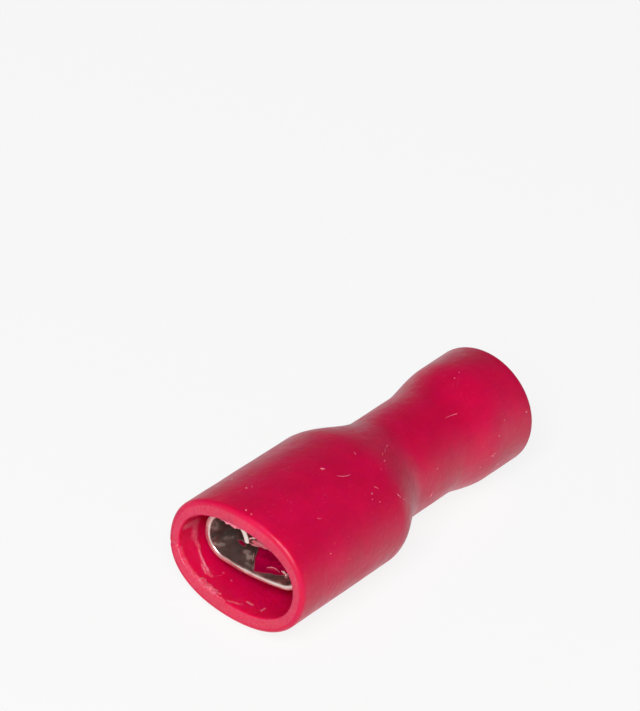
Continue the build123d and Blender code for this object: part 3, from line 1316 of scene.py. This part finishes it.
@dataclass(frozen=True)
class Cloud:
    """Noise of a scale, detail and roughness, whose values matter between a low and a high one."""

    scale: float
    detail: float
    rough: float
    low: float = 0.0
    high: float = 1.0

    def raw(self, graph: Graph, vector: Value) -> Value:
        """The noise as it is, over a vector."""
        return graph.noise(vector, self.scale, self.detail, self.rough)

    def over(self, graph: Graph, vector: Value, start: float = 0.0, end: float = 1.0) -> Value:
        """The noise over a vector, spread smoothly from start at low to end at high."""
        return graph.ramp(self.raw(graph, vector), self.low, self.high, start, end)


@dataclass(frozen=True)
class Vinyl:
    """Waxy red vinyl with a satin skin, leathery grain, fine scratches and pale scuffs; its pale
    colour also carries painted sheen and highlights.
    """

    name: str = "red_vinyl_skin"
    body: tuple = colour(0.76, 0.0008, 0.080)
    deep: tuple = colour(0.66, 0.0006, 0.064)
    pale: tuple = colour(0.88, 0.30, 0.37)
    dust: tuple = colour(0.92, 0.55, 0.58)
    roughness: float = 0.36
    glossier: float = 0.05
    rougher: float = 0.06
    index: float = 1.41
    glow: float = 0.85
    glow_radius: tuple[float, float, float] = (1.0, 0.06, 0.14)
    glow_depth: float = 1.6
    clouds: Cloud = Cloud(0.45, 3.0, 0.6, 0.3, 0.7)
    gloss_clouds: Cloud = Cloud(1.3, 4.0, 0.6, 0.25, 0.75)
    leather_scale: float = 2.4
    leather_clouds: Cloud = Cloud(4.08, 3.0, 0.6)
    leather_height: float = 0.018
    grain: Cloud = Cloud(7.0, 3.0, 0.6)
    grain_height: float = 0.015
    broken: Cloud = Cloud(9.0, 3.0, 0.6, 0.35, 0.6)
    broken_least: float = 0.35
    worn_gloss: float = 0.12
    scratch_turns: tuple = ((0, 0, 20), (30, 0, -35), (80, 25, 10), (120, -20, 60))
    scratch_stretch: tuple[float, float, float] = (0.9, 14.0, 14.0)
    scratch_crests: Cloud = Cloud(1.0, 1.5, 0.4, 0.735, 0.80)
    scratched_parts: Cloud = Cloud(0.5, 1.0, 0.5, 0.42, 0.62)
    scratch_share: float = 0.35
    scratch_depth: float = 1.5
    speck_scale: float = 1.1
    speck_radii: tuple[float, float] = (0.030, 0.065)
    speck_choice: tuple[float, float] = (0.60, 0.66)
    speck_share: float = 0.75
    speck_height: float = 4.0

    def scratches(self, graph: Graph) -> Value:
        """Thin short lines in several directions: crests of noise that is stretched one way.

        Args:
            graph: The material's nodes.

        Returns:
            1 on a line, and 0 beside it.
        """
        total: Value = 0.0
        for turn in self.scratch_turns:
            crest = self.scratch_crests.over(graph, graph.place(self.scratch_stretch, turn))
            total = graph.math("MAXIMUM", crest, total)
        parts = self.scratched_parts.over(graph, graph.place((1, 1, 1)))
        return graph.math("MULTIPLY", total, parts)

    def specks(self, graph: Graph) -> Value:
        """Tiny dots of dust: the middles of some cells of a cell pattern.

        Args:
            graph: The material's nodes.

        Returns:
            1 on a dot, and 0 beside it.
        """
        sockets = {"Vector": graph.place((1, 1, 1)), "Scale": self.speck_scale, "Randomness": 1.0}
        cells = graph.add("TexVoronoi", sockets)
        near = graph.ramp(cells.outputs["Distance"], *self.speck_radii, 1.0, 0.0)
        parts = graph.add("SeparateColor", {0: cells.outputs["Color"]})
        chosen = graph.ramp(parts.outputs[0], *self.speck_choice)
        return graph.math("MULTIPLY", near, chosen)

    def make(self) -> bpy.types.Material:
        """Builds the material: cloudy red, paler where scratched, worn, dusty or painted with
        sheen, over two reliefs.

        Returns:
            The material.
        """
        material = bpy.data.materials.new(self.name)
        graph = Graph(material)
        here = graph.place((1, 1, 1))
        skin = graph.mix(self.clouds.over(graph, here), self.deep, self.body)
        scratch, speck = self.scratches(graph), self.specks(graph)
        broken = self.broken.over(graph, here, self.broken_least)
        # The mask also holds painted sheen and highlights, which turn the skin pale too.
        worn = graph.math("MULTIPLY", graph.attribute("scuff"), broken)
        skin = graph.mix(graph.math("MULTIPLY", scratch, self.scratch_share), skin, self.pale)
        skin = graph.mix(worn, skin, self.pale)
        skin = graph.mix(graph.math("MULTIPLY", speck, self.speck_share), skin, self.dust)
        low, high = self.roughness - self.glossier, self.roughness + self.rougher
        rough = self.gloss_clouds.over(graph, here, low, high)
        rough = graph.math("SUBTRACT", rough, graph.math("MULTIPLY", worn, self.worn_gloss))
        cells = {"Vector": here, "Scale": self.leather_scale}
        leather = graph.add("TexVoronoi", cells, feature="SMOOTH_F1").outputs["Distance"]
        pebble = graph.math("ADD", leather, self.leather_clouds.raw(graph, here))
        coarse = graph.bump(pebble, self.leather_height)
        scored = graph.math("MULTIPLY", scratch, -self.scratch_depth)
        marks = graph.math("ADD", self.grain.raw(graph, here), scored)
        marks = graph.math("ADD", marks, graph.math("MULTIPLY", speck, self.speck_height))
        shader = graph.add(
            "BsdfPrincipled",
            {
                "Base Color": skin,
                "Roughness": rough,
                "IOR": self.index,
                "Normal": graph.bump(marks, self.grain_height, coarse),
                "Subsurface Weight": self.glow,
                "Subsurface Radius": self.glow_radius,
                "Subsurface Scale": self.glow_depth * MM,
            },
        )
        graph.add("OutputMaterial", {"Surface": shader.outputs[0]})
        return material


@dataclass(frozen=True)
class Tin:
    """Bright tin plating over brass: a mirror with fine rolling lines and a paler cut edge.

    Plated is how far it mirrors, on the clean sheet, in its painted highlights and under the
    painted red reflection. The painted reflection covers the sheet from reflection_whole
    upwards, and gets stronger above that.
    """

    name: str = "tin_plating"
    bright: tuple = colour(0.76, 0.64, 0.58)
    dull: tuple = colour(0.56, 0.36, 0.32)
    cut_edge: tuple = colour(0.90, 0.86, 0.80)
    # Lighter colour of the painted highlights inside the receptacle.
    gleam: tuple = colour(0.66, 0.52, 0.46)
    # Dark red painted reflection of the sleeve on the base, where faint and where full.
    faint_reflection: tuple = colour(0.48, 0.0, 0.055)
    film: tuple = colour(1.0, 0.0, 0.12)
    roughness: float = 0.12
    smoother: float = 0.03
    rougher: float = 0.07
    edge_roughness: float = 0.42
    plated: float = 0.88
    highlight_plated: float = 0.45
    reflection_plated: float = 0.2
    reflection_whole: float = 0.5
    clouds: Cloud = Cloud(1.6, 4.0, 0.6, 0.3, 0.7)
    uneven: Cloud = Cloud(3.5, 3.0, 0.6, 0.32, 0.6)
    uneven_least: float = 0.35
    lines: Cloud = Cloud(1.0, 3.0, 0.6, 0.3, 0.7)
    line_stretch: tuple[float, float, float] = (0.6, 30.0, 30.0)
    line_height: float = 0.0016
    ripple: Cloud = Cloud(0.9, 2.0, 0.5)
    ripple_height: float = 0.02

    def make(self) -> bpy.types.Material:
        """Builds the material: cloudy plating, then the painted highlights, the painted red
        reflection and the cut edges.

        Returns:
            The material.
        """
        material = bpy.data.materials.new(self.name)
        graph = Graph(material)
        here = graph.place((1, 1, 1))
        cut, film = graph.attribute("cut"), graph.attribute("film")
        uneven = self.uneven.over(graph, here, self.uneven_least)
        # Painted highlights: lighter and less of a mirror where the mask says.
        gleam = graph.math("MULTIPLY", graph.attribute("gleam"), uneven)
        # The painted red reflection: faint to full in colour, and less of a mirror.
        stronger = graph.math("MULTIPLY", graph.ramp(film, self.reflection_whole, 1.0), uneven)
        reflection_skin = graph.mix(stronger, self.faint_reflection, self.film)
        reflected = graph.ramp(film, 0.0, self.reflection_whole)
        skin = graph.mix(self.clouds.over(graph, here), self.dull, self.bright)
        skin = graph.mix(gleam, skin, self.gleam)
        skin = graph.mix(reflected, skin, reflection_skin)
        skin = graph.mix(cut, skin, self.cut_edge)
        plated = graph.ramp(gleam, 0.0, 1.0, self.plated, self.highlight_plated)
        plated = graph.ramp(reflected, 0.0, 1.0, plated, self.reflection_plated)
        along = graph.place(self.line_stretch)
        low, high = self.roughness - self.smoother, self.roughness + self.rougher
        rough = self.lines.over(graph, along, low, high)
        coarse = graph.bump(self.ripple.raw(graph, here), self.ripple_height)
        shader = graph.add(
            "BsdfPrincipled",
            {
                "Base Color": skin,
                "Metallic": plated,
                "Roughness": graph.ramp(cut, 0.0, 1.0, rough, self.edge_roughness),
                "Normal": graph.bump(self.lines.raw(graph, along), self.line_height, coarse),
            },
        )
        graph.add("OutputMaterial", {"Surface": shader.outputs[0]})
        return material


@dataclass(frozen=True)
class Softbox:
    """Square lamp that points at the terminal from an azimuth and an elevation.

    Azimuth 0 stands on the side of -Y, and 90 on the side of +X.
    """

    name: str
    azimuth: float
    elevation: float
    distance: float
    side: float
    strength: float

    def build(self, target: Vector) -> None:
        """Adds the lamp.

        Its power is strength times pi squared times the square of its distance, so that a white
        surface that faces it shows the strength.

        Args:
            target: Where it points, in metres.
        """
        data = bpy.data.lights.new(self.name, "AREA")
        data.shape = "SQUARE"
        data.size = self.side * MM
        reach = self.distance * MM
        data.energy = self.strength * math.pi**2 * reach**2
        lamp = bpy.data.objects.new(self.name, data)
        towards = heading(self.azimuth, self.elevation)
        lamp.location = target + towards * reach
        lamp.rotation_euler = towards.to_track_quat("Z", "Y").to_euler()
        bpy.context.scene.collection.objects.link(lamp)


def heading(azimuth: float, elevation: float) -> Vector:
    """Direction from the terminal to a place at an azimuth and an elevation in degrees."""
    a, e = math.radians(azimuth), math.radians(elevation)
    return Vector((math.sin(a) * math.cos(e), -math.cos(a) * math.cos(e), math.sin(e)))


@dataclass(frozen=True)
class PhotoCamera:
    """Camera of the photograph, in the part's own frame.

    The photograph shows the terminal rolled over a little, so the camera is rolled instead.
    """

    azimuth: float = 121.190
    elevation: float = 34.470
    roll: float = 10.948
    distance: float = 278.741
    aim: tuple[float, float, float] = (-1.183, -4.583, 8.431)
    focal_pixels: float = 5492.65
    long_side_pixels: float = 711.0
    sensor: float = 36.0
    clip_shares: tuple[float, float] = (0.1, 20.0)

    def build(self) -> bpy.types.Object:
        """Adds the camera, rolled about its line of sight, and makes it the scene's.

        Returns:
            The camera.
        """
        data = bpy.data.cameras.new("photo_camera")
        data.sensor_width = self.sensor
        data.lens = self.focal_pixels / self.long_side_pixels * self.sensor
        data.clip_start, data.clip_end = (self.distance * MM * part for part in self.clip_shares)
        camera = bpy.data.objects.new("photo_camera", data)
        back = heading(self.azimuth, self.elevation)
        level = Vector((0, 0, 1)).cross(back).normalized()
        roll = math.radians(self.roll)
        right = level * math.cos(roll) + back.cross(level) * math.sin(roll)
        turn = Matrix((right, back.cross(right), back)).transposed()
        place = Vector(self.aim) * MM + back * self.distance * MM
        camera.matrix_world = Matrix.Translation(place) @ turn.to_4x4()
        bpy.context.scene.collection.objects.link(camera)
        bpy.context.scene.camera = camera
        return camera


@dataclass(frozen=True)
class Studio:
    """White table under a dark ceiling and a paler horizon, with softboxes."""

    table_half_side: float = 1500.0
    table_colour: tuple = colour(0.86, 0.86, 0.86)
    table_shown: float = 0.86
    ceiling: tuple = colour(0.045, 0.045, 0.045)
    horizon: tuple = colour(0.40, 0.40, 0.41)
    ceiling_from: float = 0.55
    horizon_to: float = 0.05
    lamps: tuple[Softbox, ...] = ()

    def seen(self, graph: Graph) -> Value:
        """Which rays show the background: camera, mirrored and refracted ones.

        Args:
            graph: The nodes that ask.

        Returns:
            1 for those rays, and 0 for others.
        """
        path = graph.add("LightPath")
        total = graph.math("ADD", path.outputs["Is Camera Ray"], path.outputs["Is Glossy Ray"])
        total = graph.math("ADD", total, path.outputs["Is Transmission Ray"])
        return graph.math("MINIMUM", total, 1.0)

    def table(self) -> bpy.types.Object:
        """White table top, which keeps part of its own shading where it shows.

        Returns:
            The table.
        """
        side = self.table_half_side * MM
        corners = [(-side, -side, 0), (side, -side, 0), (side, side, 0), (-side, side, 0)]
        mesh = bpy.data.meshes.new("table_top")
        mesh.from_pydata(corners, [], [(0, 1, 2, 3)])
        table = bpy.data.objects.new("table_top", mesh)
        bpy.context.scene.collection.objects.link(table)
        material = bpy.data.materials.new("white_table")
        graph = Graph(material)
        lit = graph.add("BsdfDiffuse", {"Color": self.table_colour})
        white = graph.add("Emission", {"Color": colour(1, 1, 1), "Strength": 1.0})
        share = graph.math("MULTIPLY", self.seen(graph), self.table_shown)
        shader = graph.add("MixShader", {0: share, 1: lit.outputs[0], 2: white.outputs[0]})
        graph.add("OutputMaterial", {"Surface": shader.outputs[0]})
        mesh.materials.append(material)
        return table

    def world(self) -> None:
        """World that is white to the camera, and lights softly from the horizon."""
        world = bpy.data.worlds.new("studio")
        bpy.context.scene.world = world
        graph = Graph(world)
        towards = graph.add("TexCoord").outputs["Generated"]
        height = graph.add("SeparateXYZ", {0: towards}).outputs["Z"]
        share = graph.ramp(height, self.horizon_to, self.ceiling_from)
        around = graph.mix(share, self.horizon, self.ceiling)
        path = graph.add("LightPath")
        shown = graph.mix(path.outputs["Is Camera Ray"], around, colour(1, 1, 1))
        light = graph.add("Background", {"Color": shown, "Strength": 1.0})
        graph.add("OutputWorld", {"Surface": light.outputs[0]})

    def build(self) -> None:
        """Sets up table, world and lamps."""
        self.table()
        self.world()
        low, high = (Vector(corner) for corner in CAD_BOUNDS)
        for lamp in self.lamps:
            lamp.build((low + high) / 2)


FIBRES = (
    Fibre((5.72, 85.4), (5.80, 83.8), (5.92, 82.2), 0.07),
    Fibre((5.68, 82.6), (5.80, 83.8), (5.80, 85.6), 0.05),
    Fibre((6.02, 71.8), (6.36, 67.4), (6.78, 65.9), 0.045),
    Fibre((9.44, 65.0), (9.58, 65.9), (9.70, 67.2), 0.05),
    Fibre((9.80, 66.2), (10.02, 67.8), (10.16, 70.0), 0.04),
    Fibre((10.33, 69.6), (10.43, 70.8), (10.62, 71.2), 0.05),
    Fibre((8.56, 34.4), (8.62, 31.9), (8.74, 29.6), 0.055),
    Fibre((15.20, 63.4), (15.48, 63.0), (15.70, 62.0), 0.05),
    Fibre((15.62, 62.8), (15.86, 61.4), (16.10, 60.4), 0.045),
    Fibre((12.74, -7.6), (12.84, -4.9), (12.90, -2.6), 0.045),
    Fibre((8.08, 77.2), (8.11, 79.0), (8.20, 80.8), 0.045),
    Fibre((3.02, 52.0), (3.10, 50.4), (3.24, 49.4), 0.04),
    Fibre((7.40, 47.8), (7.52, 46.2), (7.56, 44.6), 0.04),
)

SPECKS = (
    Speck(18.09, 19.8, 0.050),
    Speck(17.68, 1.6, 0.085),
    Speck(17.80, 2.9, 0.040),
    Speck(17.55, 89.3, 0.038),
    Speck(20.50, 25.8, 0.055),
    Speck(2.58, 25.0, 0.040),
    Speck(3.51, -11.9, 0.048),
    Speck(16.91, -7.6, 0.045),
    Speck(18.44, -15.7, 0.048),
    Speck(0.37, 87.6, 0.045),
    Speck(0.42, 94.4, 0.040),
    Speck(1.96, 114.4, 0.045),
    Speck(2.20, 111.6, 0.035),
    Speck(6.83, 40.7, 0.035),
    Speck(7.20, 36.2, 0.032),
    Speck(8.90, 27.5, 0.040),
    Speck(9.30, 60.2, 0.038),
)

# Pale, slightly raised marks in the hollow near the mouth.
PALE_HOLLOW_MARKS = (
    Mark(0.80, 176.5, 0.90, 8, 0.42, 0.44, 0.03, Wall.HOLLOW),
    Mark(1.28, -175.5, 0.80, 100, 0.52, 0.44, 0.04, Wall.HOLLOW),
    Mark(1.26, -164.0, 0.60, 80, 0.28, 0.42, 0.04, Wall.HOLLOW),
    Mark(1.17, -152.9, 0.48, 108, 0.16, 0.9, 0.06, Wall.HOLLOW),
    Mark(1.01, -143.3, 0.60, 106, 0.20, 1.0, 0.07, Wall.HOLLOW),
    Mark(0.79, -141.0, 0.46, 113, 0.12, 0.9, 0.04, Wall.HOLLOW),
    Mark(0.84, -133.2, 0.14, 90, 0.26, 0.4, 0.02, Wall.HOLLOW),
    Mark(1.57, -127.0, 0.02, 0, 0.10, 1.0, 0.02, Wall.HOLLOW),
    Mark(1.51, -114.5, 0.02, 0, 0.12, 1.0, 0.02, Wall.HOLLOW),
    Mark(0.80, -72.0, 0.34, 90, 0.12, 1.0, 0.03, Wall.HOLLOW),
    Mark(0.74, -52.5, 0.30, 5, 0.10, 0.9, 0.03, Wall.HOLLOW),
    Mark(0.30, -86.0, 0.36, 70, 0.11, 0.9, 0.04, Wall.HOLLOW),
    Mark(0.18, -93.0, 0.16, 90, 0.10, 0.7, 0.04, Wall.HOLLOW),
    Mark(0.42, -79.0, 0.12, 40, 0.07, 0.7, 0.02, Wall.HOLLOW),
)

WORN_RIM_AND_RIDGE_HIGHLIGHT = (
    Mark(0.45, -169.8, 0.34, 10, 0.09, 0.5, wall=Wall.FACE),
    Mark(0.14, -168.5, 0.22, 35, 0.09, 0.6, wall=Wall.FACE),
    # A thin pale line round the face near the opening: the painted highlight of a ridge on the rim.
    Mark(0.09, -161.0, 0.56, 90, 0.12, 0.6, wall=Wall.FACE),
    Mark(0.08, -154.5, 0.24, 92, 0.14, 1.0, wall=Wall.FACE),
    Mark(0.07, -149.0, 0.44, 92, 0.12, 0.7, wall=Wall.FACE),
    Mark(0.12, -160.0, 0.80, 90, 0.22, 0.30, 0.02, Wall.HOLLOW),
    Mark(0.12, -149.0, 0.80, 90, 0.24, 0.30, 0.03, Wall.HOLLOW),
    Mark(0.02, -136.0, 0.50, 90, 0.44, 0.35, 0.14, Wall.HOLLOW),
    Mark(0.28, -132.7, 0.10, 60, 0.20, 1.0, 0.09, Wall.HOLLOW),
    Mark(0.06, -127.0, 0.60, 86, 0.50, 0.62, 0.15, Wall.HOLLOW),
    Mark(0.30, -125.0, 0.16, 70, 0.14, 0.8, 0.06, Wall.HOLLOW),
    Mark(0.05, -119.5, 0.36, 95, 0.38, 0.72, 0.13, Wall.HOLLOW),
    Mark(0.22, -116.0, 0.20, 50, 0.20, 1.0, 0.10, Wall.HOLLOW),
    Mark(0.17, -111.8, 0.40, 60, 0.11, 1.0, 0.05, Wall.HOLLOW),
    Mark(0.06, -106.0, 0.30, 90, 0.14, 0.4, 0.05, Wall.HOLLOW),
    Mark(0.05, -99.0, 0.20, 90, 0.10, 0.4, 0.03, Wall.HOLLOW),
)

TORN_BITS_AND_HIGHLIGHT = (
    Crumb(-1.28, 2.20, 0.14, (0.15, 0.08, 0.10)),
    Crumb(-1.04, 2.20, 0.14, (0.16, 0.11, 0.11)),
    Crumb(-0.88, 2.23, 0.10, (0.11, 0.09, 0.09)),
    Crumb(-0.72, 2.16, 0.17, (0.16, 0.12, 0.12)),
    Crumb(-0.52, 2.17, 0.15, (0.13, 0.10, 0.10)),
    Crumb(-0.38, 2.22, 0.12, (0.11, 0.09, 0.08)),
    Crumb(-0.20, 2.28, 0.12, (0.14, 0.06, 0.08)),
    # A pale pink arch lying on the receptacle's base: a painted highlight.
    Strand((2.24, 0.41, -0.96), (2.50, 0.70, -0.92), (2.33, 1.18, -0.86), 0.07, 0.04),
)

# Torn threads and lumps under the mouth's top edge, in a darker copy of the torn vinyl: painted
# shade.
SHADED_THREADS = (
    Strand((0.10, 1.80, 2.04), (0.34, 1.20, 1.80), (0.52, 0.30, 1.34), 0.16, 0.08),
    Strand((0.10, 1.40, 2.18), (0.30, 1.10, 1.90), (0.46, 0.74, 1.58), 0.12, 0.07),
    Crumb(0.98, 1.98, 0.26, (0.20, 0.13, 0.10)),
    Crumb(1.36, 2.02, 0.20, (0.22, 0.10, 0.10)),
    Crumb(0.62, 1.72, 0.40, (0.15, 0.08, 0.08)),
)

WHITENED_THREADS_AND_HIGHLIGHT = (
    Strand((0.06, 1.05, 2.30), (0.30, 0.62, 2.03), (0.42, 0.22, 1.68), 0.10),
    # A thin bright arc lying on the receptacle's base: a painted highlight.
    Strand((2.90, -0.86, -1.08), (2.60, -0.66, -1.07), (2.33, -0.52, -1.06), 0.06, 0.04),
    # Two pale lumps on the base's right half.
    Crumb(1.33, -0.78, 2.42, (0.12, 0.05, 0.07)),
    Crumb(1.58, -0.75, 2.34, (0.10, 0.05, 0.06)),
)

# Lighter patches of painted highlight inside the receptacle.
PAINTED_HIGHLIGHTS = (
    Patch(-2.60, 0.62, 0.46, 0.34, 60, 0.90),
    Patch(-2.20, -0.32, 0.50, 0.16, 25, 0.80),
    Patch(-1.72, 0.30, 0.60, 0.15, 35, 0.50),
    Patch(-0.50, -0.05, 0.34, 0.22, 20, 1.00),
    Patch(-0.34, -0.22, 0.34, 0.22, 70, 1.00),
    Patch(-0.27, -0.70, 0.44, 0.11, -15, 0.70),
    Patch(-0.86, 0.54, 0.26, 0.08, 10, 0.90),
)

# A dark red spot of painted reflection inside the receptacle.
REFLECTED_SPOTS = (Patch(-0.92, 0.36, 0.30, 0.12, -15, 0.80),)

LAMPS = (
    Softbox("camera_softbox", azimuth=112, elevation=42, distance=300, side=130, strength=0.95),
)


def main() -> None:
    """Builds the camera, the studio and the terminal's pieces in order."""
    logging.basicConfig(level=logging.INFO, format="%(name)s %(message)s")
    PhotoCamera().build()
    Studio(lamps=LAMPS).build()
    bpy.context.scene.view_settings.view_transform = "Standard"
    vinyl = Vinyl().make()
    sleeve = Sleeve(marks=PALE_HOLLOW_MARKS + WORN_RIM_AND_RIDGE_HIGHLIGHT)
    sleeve.dress(vinyl)
    torn = Vinyl("torn_vinyl", glow=0.0, roughness=0.5).make()
    LooseBits("mouth_shavings", TORN_BITS_AND_HIGHLIGHT).dress(torn)
    # Brown pale colour for the threads under the mouth's top edge: painted shade.
    dull = Vinyl("dull_threads", pale=colour(0.46, 0.15, 0.16), glow=0.0, roughness=0.4).make()
    LooseBits("dull_threads", SHADED_THREADS).dress(dull)
    whitened = Vinyl("whitened_threads", pale=colour(0.84, 0.60, 0.55), glow=0.0, roughness=0.4)
    LooseBits("whitened_threads", WHITENED_THREADS_AND_HIGHLIGHT).dress(whitened.make())
    dust = [bit.laid_on(sleeve) for bit in FIBRES + SPECKS]
    LooseBits("dust_and_fibres", dust, rows=12, columns=8).dress(torn)
    Contact(painted_highlights=PAINTED_HIGHLIGHTS, reflected_spots=REFLECTED_SPOTS).dress(Tin().make())


if __name__ == "__main__":
    main()
